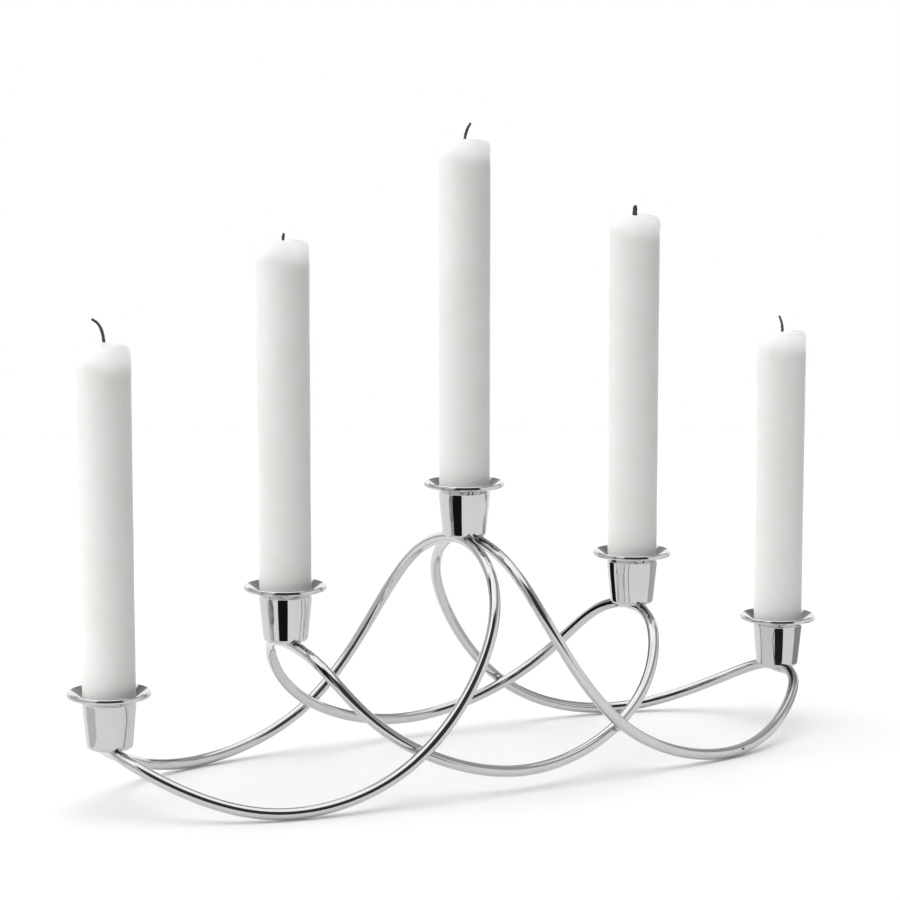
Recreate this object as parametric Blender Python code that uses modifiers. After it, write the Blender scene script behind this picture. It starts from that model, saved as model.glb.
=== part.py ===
"""Tabletop candelabra: three closed bent rings of round rod that carry five candle cups.

The rings lie in a row along X and cross one another. The two outer rings stand on the
table and the middle ring hangs between them. The XZ plane is a plane of symmetry, and half
a turn about Z carries the left side onto the right side. Blender 4.5, metres, +Z up.
"""
import math

import bmesh
import bpy
import numpy as np

MM = 0.001
GAP = 0.3                      # clearance that touching pieces keep

# ---- rod and rings, in millimetres --------------------------------------------------
ROD_RADIUS = 2.5
ROD_SIDES_RESOLUTION = 3       # gives a ten-sided rod
RING_STEPS = 8                 # rod samples between two stations
TWIN_ENDS = 2.0 * ROD_RADIUS + 0.4   # centre distance of the two high ends, side by side

# Stations of an outer ring from its high end, round the back, to its low end. The front
# is their mirror image. Heights are of the rod's centre above the ring's lowest point.
SIDE_RING_HALF = (
    (-TWIN_ENDS / 2.0, 0.0, 98.0),   # high end, under the tall cup
    (-5.5, 31.0, 89.0),              # shoulder
    (-17.0, 50.5, 60.0),             # side of the arch
    (-55.5, 54.0, 15.0),             # crossing with the middle ring
    (-119.0, 46.5, 1.0),             # foot on the table
    (-162.5, 19.5, 19.0),            # rise to the low end
    (-167.0, 0.0, 23.2),             # low end, under the outermost cup
)
# Stations of the middle ring from one end to the lowest point at the back: a quarter.
MIDDLE_RING_QUARTER = (
    (86.5, 0.0, 60.3),               # end, under a half-height cup
    (81.0, 26.5, 52.0),              # shoulder
    (57.0, 46.0, 24.4),              # crossing with the outer ring
    (0.0, 54.5, 6.4),                # lowest point
)

# ---- cups ----------------------------------------------------------------------------
CUP_STEPS = 28
CUP_HEIGHT = 24.0
CUP_SEAT = 1.6                 # how deep the rod is let into the cup's base
CUP_CORNER = 1.8               # round corner between base and wall
CUP_FOOT_RADIUS = 9.65
CUP_NECK_RADIUS = 11.4
CUP_NECK_HEIGHT = 19.3
NECK_EASE = (0.8, 0.7)         # how far the fold between wall and rim is eased, out and up
RIM_RADIUS = 17.5
RIM_HEIGHT = 22.6              # height of the rim's widest line
RIM_ROUND = 0.7                # radius of the rim's rounded edge
RIM_CREST_RADIUS = 16.7
CREST_EASE = (0.5, 0.3)        # how far inside and below the crest the dish begins
SOCKET_FLOOR = 4.0
SOCKET_FLOOR_RADIUS = 7.9
SOCKET_FLOOR_EASE = (0.5, 0.8)   # how far out and up the wall of the socket begins
SOCKET_TOP_RADIUS = 10.75
SOCKET_TOP_HEIGHT = 19.9
CORNER_POINTS = 4

# ---- brazed seats and welds ----------------------------------------------------------
BRAZE_WALL = 0.5
BRAZE_LENGTH = 19.6
GROOVE_LENGTH = 26.0
BRAZE_SKIRT = 0.2              # how far the braze reaches below the rod's centre
WELD_RADIUS = 2.3
WELD_GAP = 0.1
WELD_SEGMENTS = 16
TRIM_BLOCK = 60.0              # size of the block that trims the braze from below

# ---- candles -------------------------------------------------------------------------
CANDLE_STEPS = 28
CANDLE_RADIUS = 11.0
CANDLE_FOOT_RADIUS = 8.05
CANDLE_FOOT_CHAMFER = 0.7
CANDLE_TAPER_TOP = 20.9        # height in the cup where the taper ends
CANDLE_PLAY = 0.4              # room round the foot at the mouth of the socket
CANDLE_SHOULDER = 1.8
CANDLE_LIP_RADIUS = 8.8
CANDLE_POOL_DEPTH = 1.0
WICK_HOLE_RADIUS = 1.0
WICK_HOLE_DEPTH = 4.7
WICK_RADIUS = 0.65
WICK_STEPS = 8

MERGE_CAPS = 1e-6              # vertices of a rod and its caps closer than this, in metres, are one
MERGE_AXIS = 1e-5               # the same for the points on the axis of a turned solid

# Station number: candle top above the table, wick height above the candle top, and how far
# the wick's tip leans along X and Y.
CANDLES = {
    1: (193.3, 10.0, (-3.6, 2.0)),
    2: (233.7, 4.0, (0.2, -0.1)),
    3: (273.3, 8.0, (2.3, -1.2)),
    4: (238.9, 5.0, (0.2, 0.1)),
    5: (182.7, 7.0, (-1.3, 0.7)),
}

# Colour, roughness and metallic value of each finish.
FINISHES = {
    "polished_rod": ((0.86, 0.86, 0.87), 0.05, 1.0),
    "polished_cup": ((0.86, 0.86, 0.87), 0.04, 1.0),
    "braze_alloy": ((0.62, 0.60, 0.57), 0.30, 1.0),
    "candle_wax": ((0.90, 0.89, 0.87), 0.45, 0.0),
    "charred_wick": ((0.035, 0.032, 0.03), 0.90, 0.0),
}


def clear_scene():
    for item in list(bpy.data.objects):
        bpy.data.objects.remove(item, do_unlink=True)


def new_collection(name):
    collection = bpy.data.collections.new(name)
    bpy.context.scene.collection.children.link(collection)
    return collection


def make_finish(name):
    colour, roughness, metallic = FINISHES[name]
    finish = bpy.data.materials.new(name)
    finish.use_nodes = True
    shader = finish.node_tree.nodes["Principled BSDF"]
    shader.inputs["Base Color"].default_value = (*colour, 1.0)
    shader.inputs["Roughness"].default_value = roughness
    shader.inputs["Metallic"].default_value = metallic
    return finish


# ---- paths ---------------------------------------------------------------------------


def smooth_closed(stations, steps):
    """Points of the smooth closed curve (a periodic cubic spline) through the stations."""
    knots = np.array(stations, float)
    count = len(knots)
    before = np.roll(knots, 1, axis=0)
    after = np.roll(knots, -1, axis=0)
    unit = np.eye(count)
    system = 4.0 * unit + np.roll(unit, 1, axis=1) + np.roll(unit, -1, axis=1)
    bend = np.linalg.solve(system, 6.0 * (before - 2.0 * knots + after))
    points = []
    for index in range(count):
        following = (index + 1) % count
        for step in range(steps):
            u = step / steps
            v = 1.0 - u
            points.append(
                v * knots[index]
                + u * knots[following]
                + (v ** 3 - v) * bend[index] / 6.0
                + (u ** 3 - u) * bend[following] / 6.0
            )
    return np.array(points)


def side_ring_path():
    """The left ring, mirrored in the XZ plane and standing on the table at its lowest point."""
    half = list(SIDE_RING_HALF)
    front = [(x, -y, z) for x, y, z in half[-2:0:-1]]
    path = smooth_closed(half + front, RING_STEPS)
    path[:, 2] += ROD_RADIUS - path[:, 2].min()
    return path


def middle_ring_path(lift):
    """The middle ring, mirrored in the XZ and YZ planes and lifted with the side rings."""
    quarter = list(MIDDLE_RING_QUARTER)
    back = quarter + [(-x, y, z) for x, y, z in quarter[-2::-1]]
    front = [(x, -y, z) for x, y, z in back[-2:0:-1]]
    path = smooth_closed(back + front, RING_STEPS)
    path[:, 2] += lift
    return path


def half_turn(path):
    return path * np.array([-1.0, -1.0, 1.0])


def stretch_about(path, index, length):
    """The run of a closed path that lies within half the length of one of its points."""
    centred = np.roll(path, len(path) // 2 - index, axis=0)
    middle = centred[len(path) // 2]
    near = np.linalg.norm(centred - middle, axis=1) <= length / 2.0
    first = int(np.argmax(near)) - 1
    last = len(near) - int(np.argmax(near[::-1]))
    run = centred[first:last + 1].copy()
    for end, inner in ((0, 1), (-1, -2)):
        reach = run[end] - run[inner]
        left = length / 2.0 - np.linalg.norm(run[inner] - middle)
        run[end] = run[inner] + reach * (left / np.linalg.norm(reach))
    return run


# ---- solids --------------------------------------------------------------------------


def make_rod(name, path, radius, closed, collection):
    """A round rod of the given radius along a path in millimetres."""
    curve = bpy.data.curves.new(name, "CURVE")
    curve.dimensions = "3D"
    curve.bevel_depth = radius * MM
    curve.bevel_resolution = ROD_SIDES_RESOLUTION
    curve.use_fill_caps = not closed
    spline = curve.splines.new("POLY")
    spline.points.add(len(path) - 1)
    for point, place in zip(spline.points, path):
        point.co = (*(np.array(place) * MM), 1.0)
    spline.use_cyclic_u = closed
    spline.use_smooth = True
    rod = bpy.data.objects.new(name, curve)
    collection.objects.link(rod)
    return rod


def as_mesh(rod, collection):
    """The rod as a mesh object with welded caps, in place of the curve object."""
    name = rod.name
    evaluated = rod.evaluated_get(bpy.context.evaluated_depsgraph_get())
    mesh = bpy.data.meshes.new_from_object(evaluated)
    welded = bmesh.new()
    welded.from_mesh(mesh)
    bmesh.ops.remove_doubles(welded, verts=welded.verts, dist=MERGE_CAPS)
    welded.to_mesh(mesh)
    welded.free()
    solid = bpy.data.objects.new(name, mesh)
    solid.matrix_world = rod.matrix_world
    curve = rod.data
    bpy.data.objects.remove(rod, do_unlink=True)
    bpy.data.curves.remove(curve)
    collection.objects.link(solid)
    solid.name = name
    return solid


def make_turned(name, profile, steps, collection):
    """A solid turned about Z from (radius, height) points that run down its outer side."""
    mesh = bpy.data.meshes.new(name)
    corners = [(radius * MM, 0.0, height * MM) for radius, height in profile]
    edges = [(index, index + 1) for index in range(len(corners) - 1)]
    mesh.from_pydata(corners, edges, [])
    turned = bpy.data.objects.new(name, mesh)
    collection.objects.link(turned)
    screw = turned.modifiers.new("turn", "SCREW")
    screw.steps = steps
    screw.render_steps = steps
    screw.use_merge_vertices = True
    screw.merge_threshold = MERGE_AXIS
    screw.use_smooth_shade = True
    return turned


def cut(solid, cutter):
    trim = solid.modifiers.new("cut_" + cutter.name, "BOOLEAN")
    trim.operation = "DIFFERENCE"
    trim.solver = "EXACT"
    trim.object = cutter


def as_cutter(solid):
    solid.hide_render = True
    solid.display_type = "WIRE"
    return solid


def corner_arc(centre, radius, start, end, count):
    """Points of an arc in the profile plane, both ends included; angles in degrees."""
    angles = [math.radians(start + (end - start) * step / (count - 1)) for step in range(count)]
    return [(centre[0] + radius * math.cos(a), centre[1] + radius * math.sin(a)) for a in angles]


# ---- the pieces ----------------------------------------------------------------------


def cup_profile():
    """From the socket floor up the inside, over the drip rim and down the outside."""
    rim = corner_arc((RIM_RADIUS - RIM_ROUND, RIM_HEIGHT), RIM_ROUND, 45.0, -90.0, CORNER_POINTS)
    corner_centre = (CUP_FOOT_RADIUS - CUP_CORNER, CUP_CORNER)
    corner = corner_arc(corner_centre, CUP_CORNER, 0.0, -90.0, CORNER_POINTS)
    return [
        (0.0, SOCKET_FLOOR),
        (SOCKET_FLOOR_RADIUS, SOCKET_FLOOR),
        (SOCKET_FLOOR_RADIUS + SOCKET_FLOOR_EASE[0], SOCKET_FLOOR + SOCKET_FLOOR_EASE[1]),
        (SOCKET_TOP_RADIUS, SOCKET_TOP_HEIGHT),
        (RIM_CREST_RADIUS - CREST_EASE[0], CUP_HEIGHT - CREST_EASE[1]),
        (RIM_CREST_RADIUS, CUP_HEIGHT),
        *rim,
        (CUP_NECK_RADIUS + NECK_EASE[0], CUP_NECK_HEIGHT + NECK_EASE[1]),
        (CUP_NECK_RADIUS, CUP_NECK_HEIGHT),
        *corner,
        (0.0, 0.0),
    ]


def candle_profile(top):
    """From the wick hole over the burnt top and down to the tapered foot."""
    return [
        (0.0, top - WICK_HOLE_DEPTH),
        (WICK_HOLE_RADIUS, top - WICK_HOLE_DEPTH),
        (WICK_HOLE_RADIUS, top - CANDLE_POOL_DEPTH),
        (CANDLE_LIP_RADIUS, top),
        ((CANDLE_LIP_RADIUS + CANDLE_RADIUS) / 2.0, top - 0.2 * CANDLE_SHOULDER),
        (CANDLE_RADIUS, top - CANDLE_SHOULDER),
        (CANDLE_RADIUS, CANDLE_TAPER_TOP),
        (SOCKET_TOP_RADIUS - CANDLE_PLAY, SOCKET_TOP_HEIGHT),
        (CANDLE_FOOT_RADIUS, SOCKET_FLOOR + GAP + CANDLE_FOOT_CHAMFER),
        (CANDLE_FOOT_RADIUS - CANDLE_FOOT_CHAMFER, SOCKET_FLOOR + GAP),
        (0.0, SOCKET_FLOOR + GAP),
    ]


def wick_path(height, lean):
    """Straight up out of the candle, then bending over towards the tip."""
    root = GAP - WICK_HOLE_DEPTH
    path = [(0.0, 0.0, root)]
    for step in range(WICK_STEPS):
        s = step / (WICK_STEPS - 1)
        path.append((lean[0] * s * s, lean[1] * s * s, height * s - CANDLE_POOL_DEPTH * (1.0 - s)))
    return path


def trim_block(name, station, level, collection):
    """A block whose top face is at the given level, for trimming what hangs lower."""
    place = (station * MM, 0.0, (level - TRIM_BLOCK / 2.0) * MM)
    bpy.ops.mesh.primitive_cube_add(size=TRIM_BLOCK * MM, location=place)
    block = bpy.context.object
    block.name = name
    for home in list(block.users_collection):
        home.objects.unlink(block)
    collection.objects.link(block)
    return as_cutter(block)


def joined(name, rods, collection):
    """Several rod meshes joined by union, the first one keeping the result."""
    first = as_mesh(rods[0], collection)
    first.name = name
    for other in rods[1:]:
        partner = as_cutter(as_mesh(other, collection))
        union = first.modifiers.new("join", "BOOLEAN")
        union.operation = "UNION"
        union.solver = "EXACT"
        union.object = partner
    return first


def make_cup(number, place, seats, finish, parts, cutters):
    """Cup on the rod or rods that run under it, with the brazed seat between them."""
    base = place[2] + ROD_RADIUS - CUP_SEAT
    braze_radius = ROD_RADIUS + GAP + BRAZE_WALL
    label = str(number)

    def rods(kind, radius, length):
        return [
            make_rod(f"{kind}_{label}_{index}", stretch_about(path, at, length), radius, False, cutters)
            for index, (path, at) in enumerate(seats)
        ]

    groove = joined(f"groove_{label}", rods("groove", braze_radius + GAP, GROOVE_LENGTH), cutters)
    cup = make_turned(f"cup_{label}", cup_profile(), CUP_STEPS, parts)
    cup.location = (place[0] * MM, 0.0, base * MM)
    cup.data.materials.append(finish["polished_cup"])
    cut(cup, as_cutter(groove))

    braze = joined(f"braze_{label}", rods("braze_rod", braze_radius, BRAZE_LENGTH), cutters)
    cutters.objects.unlink(braze)
    parts.objects.link(braze)
    braze.data.materials.clear()
    braze.data.materials.append(finish["braze_alloy"])
    bore = joined(f"bore_{label}", rods("bore", ROD_RADIUS + GAP, GROOVE_LENGTH), cutters)
    cut(braze, as_cutter(bore))
    cut(braze, trim_block(f"trim_{label}", place[0], place[2] - BRAZE_SKIRT, cutters))


def make_candle(number, place, finish, parts):
    """A candle standing in its cup, its origin at its foot on the lifting axis, with its wick."""
    base = place[2] + ROD_RADIUS - CUP_SEAT
    foot = SOCKET_FLOOR + GAP
    top_level, wick_height, lean = CANDLES[number]
    top = top_level - base
    profile = [(radius, height - foot) for radius, height in candle_profile(top)]
    candle = make_turned(f"candle_{number}", profile, CANDLE_STEPS, parts)
    candle.location = (place[0] * MM, 0.0, (base + foot) * MM)
    candle.data.materials.append(finish["candle_wax"])
    wick = make_rod(f"wick_{number}", wick_path(wick_height, lean), WICK_RADIUS, False, parts)
    wick = as_mesh(wick, parts)
    wick.parent = candle
    wick.location = (0.0, 0.0, (top - foot) * MM)
    wick.data.materials.clear()
    wick.data.materials.append(finish["charred_wick"])


def crossing_of(first, second, side_x, side_y):
    """The closest approach of two rings in one quadrant: the middle of the gap, both indices."""
    best = None
    for i, a in enumerate(first):
        if a[0] * side_x <= 0.0 or a[1] * side_y <= 0.0:
            continue
        distances = np.linalg.norm(second - a, axis=1)
        j = int(distances.argmin())
        if best is None or distances[j] < best[0]:
            best = (distances[j], i, j)
    return (first[best[1]] + second[best[2]]) / 2.0, best[1], best[2]


def make_weld(name, outer, middle, side_x, side_y, finish, parts, cutters):
    """A bead of filler where the middle ring touches an outer ring."""
    centre, i, j = crossing_of(outer, middle, side_x, side_y)
    shape = bmesh.new()
    bmesh.ops.create_uvsphere(
        shape, u_segments=WELD_SEGMENTS, v_segments=WELD_SEGMENTS // 2, radius=WELD_RADIUS * MM
    )
    mesh = bpy.data.meshes.new(name)
    shape.to_mesh(mesh)
    shape.free()
    mesh.shade_smooth()
    bead = bpy.data.objects.new(name, mesh)
    bead.location = centre * MM
    bead.data.materials.append(finish["braze_alloy"])
    parts.objects.link(bead)
    for index, (path, at) in enumerate(((outer, i), (middle, j))):
        run = stretch_about(path, at, GROOVE_LENGTH)
        rod = make_rod(f"{name}_rod_{index}", run, ROD_RADIUS + WELD_GAP, False, cutters)
        cut(bead, as_cutter(as_mesh(rod, cutters)))


def build():
    clear_scene()
    parts = new_collection("tabletop_candelabra")
    cutters = new_collection("cutters")
    finish = {name: make_finish(name) for name in FINISHES}

    left = side_ring_path()
    lift = left[0, 2] - SIDE_RING_HALF[0][2]
    right = half_turn(left)
    middle = middle_ring_path(lift)
    for name, path in (("ring_left", left), ("ring_right", right), ("ring_middle", middle)):
        ring = make_rod(name, path, ROD_RADIUS, True, parts)
        ring.data.materials.append(finish["polished_rod"])

    low_end = len(left) // 2
    far_end = len(middle) // 2
    stations = {
        1: (left[low_end], [(left, low_end)]),
        2: (middle[far_end], [(middle, far_end)]),
        3: (np.array([0.0, 0.0, left[0, 2]]), [(left, 0), (right, 0)]),
        4: (middle[0], [(middle, 0)]),
        5: (right[low_end], [(right, low_end)]),
    }
    for number, (place, seats) in stations.items():
        make_cup(number, place, seats, finish, parts, cutters)
        make_candle(number, place, finish, parts)
    for name, outer, side_x in (("left", left, -1.0), ("right", right, 1.0)):
        make_weld(f"weld_back_{name}", outer, middle, side_x, 1.0, finish, parts, cutters)
        make_weld(f"weld_front_{name}", outer, middle, side_x, -1.0, finish, parts, cutters)


build()
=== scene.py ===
import math

import bpy
import numpy as np
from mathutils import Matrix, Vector


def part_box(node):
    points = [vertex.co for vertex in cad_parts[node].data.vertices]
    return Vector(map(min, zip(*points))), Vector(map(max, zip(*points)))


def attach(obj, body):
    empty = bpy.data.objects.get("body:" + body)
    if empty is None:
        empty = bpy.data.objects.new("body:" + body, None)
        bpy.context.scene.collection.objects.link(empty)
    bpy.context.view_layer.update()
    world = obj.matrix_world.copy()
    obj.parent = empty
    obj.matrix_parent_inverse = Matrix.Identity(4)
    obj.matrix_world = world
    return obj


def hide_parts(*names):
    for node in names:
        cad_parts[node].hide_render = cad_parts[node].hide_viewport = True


bl_info = {
    "name": "Tabletop candelabra",
    "version": (1, 0, 0),
    "blender": (4, 5, 0),
    "location": "3D View > Sidebar > Candelabra",
    "description": "Bent steel rings with five candle cups, wax candles and a white studio",
    "category": "Add Mesh",
}

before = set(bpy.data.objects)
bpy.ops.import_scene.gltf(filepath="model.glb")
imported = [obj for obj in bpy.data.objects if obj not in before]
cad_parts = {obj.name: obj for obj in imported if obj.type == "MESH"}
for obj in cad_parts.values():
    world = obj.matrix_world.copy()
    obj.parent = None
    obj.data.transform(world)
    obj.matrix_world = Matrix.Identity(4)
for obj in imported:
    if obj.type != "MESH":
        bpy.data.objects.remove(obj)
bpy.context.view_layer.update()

MM = 0.001
CUP_NUMBERS = (1, 2, 3, 4, 5)
MERGE_DISTANCE = 2e-6             # points closer than this are one point, in metres

# ---- the rings, in millimetres ----
# A ring bends smoothly through twelve stations of the rod's centre.
RING_LIFT = 2.3085                # raises every station, so that the lowest rods stand on the table
TWIN_ENDS = 5.4                   # how far apart the two outer rings run under the middle cup
SIDE_RING_HALF = (
    (-TWIN_ENDS / 2.0, 0.0, 98.0),
    (-5.5, 31.0, 89.0),
    (-17.0, 50.5, 60.0),
    (-55.5, 54.0, 15.0),
    (-119.0, 46.5, 1.0),
    (-162.5, 19.5, 19.0),
    (-167.0, 0.0, 23.2),
)
MIDDLE_RING_QUARTER = (
    (86.5, 0.0, 60.3),
    (81.0, 26.5, 52.0),
    (57.0, 46.0, 24.4),
    (0.0, 54.5, 6.4),
)
RING_SIDES = 36
RING_STEPS = 26                   # rows of faces between two stations
ROD_CLEARANCE = 0.00002           # how much wider than the rod a groove is cut, in metres

# ---- the cup, radius and height in millimetres above its base ----
CUP_SIDES = 128
CUP_CORNER = 1.8                  # radius of the rounded corner of the foot
CUP_FOOT = 9.65
CUP_WALL = ((0.6, 7.6), (1.2, 13.5))      # how far the wall flares past the foot, and where
CUP_NECK = (11.4, 19.3)
CUP_FOLD = ((0.02, 0.0), (0.1, 0.24), (0.3, 0.42), (0.8, 0.66))   # from the neck to under the rim
RIM_EDGE = (16.75, 22.6, 0.7)     # centre and radius of the rim's rounded underside
RIM_ROLL = (0.75, 1.4)            # how far the rim rolls over to its crest, across and up
RIM_CREST = (16.7, 24.0)
RIM_INNER = ((-0.12, -0.03), (-0.26, -0.12))      # from the crest into the dish
SOCKET_TOP = (10.75, 19.9)
SOCKET_LIP = ((0.5, 0.25), (0.12, -0.05), (0.0, -0.4))    # from the dish round into the socket
SOCKET_FLOOR = (7.9, 4.0)
SOCKET_EASE = (0.5, 0.8)          # from the socket's wall into its floor
CUP_CREASE = 40.0                 # edges sharper than this stay sharp, in degrees

# The rings that run under each cup, and the station of those rings that lies under it.
CUP_RINGS = {
    1: ("ring_left",), 2: ("ring_middle",), 3: ("ring_left", "ring_right"),
    4: ("ring_middle",), 5: ("ring_right",),
}
SEAT_STATIONS = {1: 6.0, 2: 6.0, 3: 0.0, 4: 0.0, 5: 6.0}

# ---- the joints ----
BEAD_POINTS = 44
BEAD_SWELL = 0.5                  # how much thicker the bead is at the two ends of a seat
# How far the seam is looked for: along the rod, in stations, and round it, in radians.
SEAT_REACH = (0.45, 1.5)
SEAT_HALVINGS = 24
BEAD_RIPPLE = (0.0016, 0.00018)   # size and depth of the ripples, in metres
WELD_RADIUS = 0.0015
WELD_CREASE = 50.0
WELDS = ("weld_back_left", "weld_front_left", "weld_back_right", "weld_front_right")

# ---- candles ----
CANDLE_SIDES = 144
CANDLE_FOOT = 7.35                # radius of the flat foot, millimetres
FOOT_TAPER = ((8.05, 0.7), (10.35, 15.6))     # radius and height of the foot's tapered side
FOOT_SHOULDER = (16.45, 16.9)     # heights where the foot's shoulder starts and ends
SHOULDER_EASE = 0.05              # how much of the body's radius the shoulder's end lacks
TOP_TURN_START = 0.4              # the top is sloped from this far below its shoulder
BURNT_LENGTH = 40.0               # the finely divided length below the top
BODY_ROW = 5.0                    # height of a row of faces below that length
BURNT_ROWS = 26
# Top above the table, slope of the top towards the right of the front view in degrees,
# how far the shoulder rounds over, depth of the melt pool, and height of the top's dome.
CANDLE_TOPS = {
    1: (193.0, 1.0, 3.4, 0.3, 0.9),
    2: (233.0, 6.5, 1.1, 0.9, 0.0),
    3: (273.0, 4.0, 2.4, 0.7, 0.2),
    4: (238.4, 5.0, 2.2, 1.2, 0.0),
    5: (182.7, 1.5, 2.4, 1.0, 0.0),
}
# Runs and lumps of wax: how far round from the viewer to the right, in degrees, how far below
# the top, half width, half length and how far they stand out.
WAX_RUNS = {
    1: ((-60.0, 9.0, 4.0, 4.5, 0.2), (75.0, 9.5, 3.0, 3.0, 0.4)),
    2: ((-40.0, 7.0, 3.0, 5.0, 0.2), (60.0, 6.0, 3.5, 3.0, 0.2)),
    3: ((-75.0, 6.0, 3.0, 4.0, 0.2), (35.0, 9.0, 3.0, 4.0, 0.2)),
    4: ((-50.0, 6.0, 3.5, 4.0, 0.2), (80.0, 5.0, 3.0, 2.5, 0.25), (150.0, 9.0, 3.0, 6.0, 0.5)),
    5: (
        (-90.0, 4.0, 7.0, 8.0, -0.9), (-88.0, 17.0, 3.0, 3.0, 0.45), (-82.0, 24.0, 2.4, 3.0, 0.35),
        (52.0, 1.0, 3.0, 2.2, 0.9), (180.0, 0.5, 5.0, 2.5, -1.3), (170.0, 14.0, 3.5, 4.0, 0.6),
    ),
}
RUN_DEPTH = 0.008                 # how far into the candle a run of wax may reach, in metres
# The melted top also carries a little painted shade in the wax's colour.
MELT_DEPTH = (0.0105, 0.0055)     # where the melted wax ends below the top, and over what height
MELT_WAVES = ((0.0014, 170.0, 0.0), (0.0006, 430.0, 1.0))     # height, radians a metre, phase
# Unevenness of the surface: size and depth of its lumps, and where its full strength starts and
# over what height it grows, measured from the top for melted wax and from the foot for cast wax.
MELT_UNEVEN = (0.006, 0.00035, -0.026, 0.02)
CAST_UNEVEN = (0.022, 0.00022, 0.02, 0.02)
CANDLE_CREASE = 60.0
# Wick: stations to the right of the candle's centre and above its top, and thickness.
WICKS = {
    1: ((0.3, -1.5, 0.62), (0.2, 2.0, 0.66), (-0.5, 5.6, 0.62), (-2.0, 8.6, 0.58),
        (-4.5, 10.5, 0.52)),
    2: ((0.2, -2.6, 0.6), (0.25, -1.3, 0.6), (0.2, 0.0, 0.62), (0.3, 1.4, 0.6), (0.5, 2.6, 0.42)),
    3: ((0.1, -2.4, 0.62), (0.1, 0.1, 0.62), (0.5, 2.4, 0.62), (1.4, 4.8, 0.6), (2.6, 6.8, 0.5)),
    4: ((-0.2, -2.9, 1.0), (-0.2, -0.9, 1.05), (-0.1, 0.8, 1.05), (0.0, 2.4, 1.0), (0.2, 3.9, 0.8)),
    5: ((0.0, -2.0, 0.62), (0.1, -0.2, 0.62), (0.0, 2.0, 0.6), (-0.5, 4.4, 0.55),
        (-1.5, 6.8, 0.45)),
}

WICK_FIBRES = (0.0009, 0.00035)   # size and depth of the frayed fibres, in metres

# ---- the front view and the studio, in metres ----
VIEW_TURN = math.radians(28.616)  # the front view looks this far round from +Y to +X
TO_RIGHT = Vector((math.cos(VIEW_TURN), -math.sin(VIEW_TURN), 0.0))
TO_VIEWER = Vector((-math.sin(VIEW_TURN), -math.cos(VIEW_TURN), 0.0))
UP = Vector((0.0, 0.0, 1.0))
WHITE = (1.0, 1.0, 1.0, 1.0)

CAMERA_PLACE = (-0.6078, -1.0880, 0.3154)
CAMERA_TURN = math.radians(28.901)
CAMERA_PITCH = math.radians(-8.067)
CAMERA_SENSOR = 36.0              # millimetres
FLOOR_RADIUS = 1.1
FLOOR_SIDES = 96
FLOOR_LEVEL = -0.0002

# What the steel mirrors, by turn from the viewer and level above the table, both in degrees.
LEFT_WALL = (0.56, 0.76, 1.58)    # at the table, at 30 degrees, and above 37 to 44
RIGHT_WALL = (1.02, 0.46, 1.45)   # below 25 to 30, up to 57 to 63, and above
DARK_GAP = (0.05, 1.45)           # the gap between the walls, and the light over it
BACK_BAND = (0.16, 0.55)          # behind the object, at the sides and in the middle
BACK_PANEL = 1.3                  # the light panel below that band
# What lights the floor, the wax and the wicks.
SIDE_LIGHT = (2.45, 1.15)         # from the left, low and high
TOP_LIGHT = 2.15
RIM_LIGHT = 0.5                   # from behind on the right
BELOW_TABLE = 0.1
# Cards round the cups, which only polished steel sees: cup, turn from the viewer towards the
# right in degrees, distance, width, lowest and highest edge in millimetres, tone.
CUP_CARDS = (
    (2, -8.0, 40.0, 29.0, 46.0, 77.0, 0.01),
    (3, -31.0, 40.0, 28.0, 82.0, 116.0, 0.01),
    (4, -105.0, 45.0, 26.0, 44.0, 76.0, 0.01),
    (5, 1.0, 70.0, 50.0, 1.0, 28.0, 0.02),
    (1, -80.0, 75.0, 70.0, 1.0, 31.0, 0.74),
    (5, 112.0, 60.0, 74.0, 2.0, 34.0, 0.36),
    (4, 120.0, 60.0, 80.0, 30.0, 68.0, 0.58),
)
TABLE_END_PLACE = TO_VIEWER * 1.56 + TO_RIGHT * 0.1 + UP * 0.001
TABLE_END_SIZE = (1.9, 2.0)
TABLE_END_TONE = 0.1


# ---- settings a user may change ----


class RodSettings(bpy.types.PropertyGroup):
    radius: bpy.props.FloatProperty(
        name="Rod radius", description="Half the thickness of the bent rod",
        default=0.00246, min=0.001, max=0.006, unit="LENGTH",
    )
    colour: bpy.props.FloatVectorProperty(
        name="Steel", description="Colour of the polished steel",
        default=(0.58, 0.58, 0.585), min=0.0, max=1.0, subtype="COLOR",
    )
    polish: bpy.props.FloatProperty(
        name="Rod roughness", description="Roughness of the polished rod",
        default=0.045, min=0.0, max=1.0, subtype="FACTOR",
    )


class CupSettings(bpy.types.PropertyGroup):
    polish: bpy.props.FloatProperty(
        name="Cup roughness", description="Roughness of the polished cups",
        default=0.035, min=0.0, max=1.0, subtype="FACTOR",
    )
    bead: bpy.props.FloatProperty(
        name="Braze bead", description="Radius of the bead that joins a cup to its rod",
        default=0.00042, min=0.0001, max=0.001, unit="LENGTH",
    )
    braze: bpy.props.FloatVectorProperty(
        name="Braze", description="Colour of the brazing alloy",
        default=(0.46, 0.45, 0.43), min=0.0, max=1.0, subtype="COLOR",
    )


class CandleSettings(bpy.types.PropertyGroup):
    radius: bpy.props.FloatProperty(
        name="Candle radius", description="Half the thickness of a candle",
        default=0.011, min=0.008, max=0.011, unit="LENGTH",
    )
    wax: bpy.props.FloatVectorProperty(
        name="Wax", description="Colour of the candle wax",
        default=(0.755, 0.742, 0.729), min=0.0, max=1.0, subtype="COLOR",
    )
    wick: bpy.props.FloatVectorProperty(
        name="Wick", description="Colour of the charred wick",
        default=(0.085, 0.080, 0.077), min=0.0, max=1.0, subtype="COLOR",
    )


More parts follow.
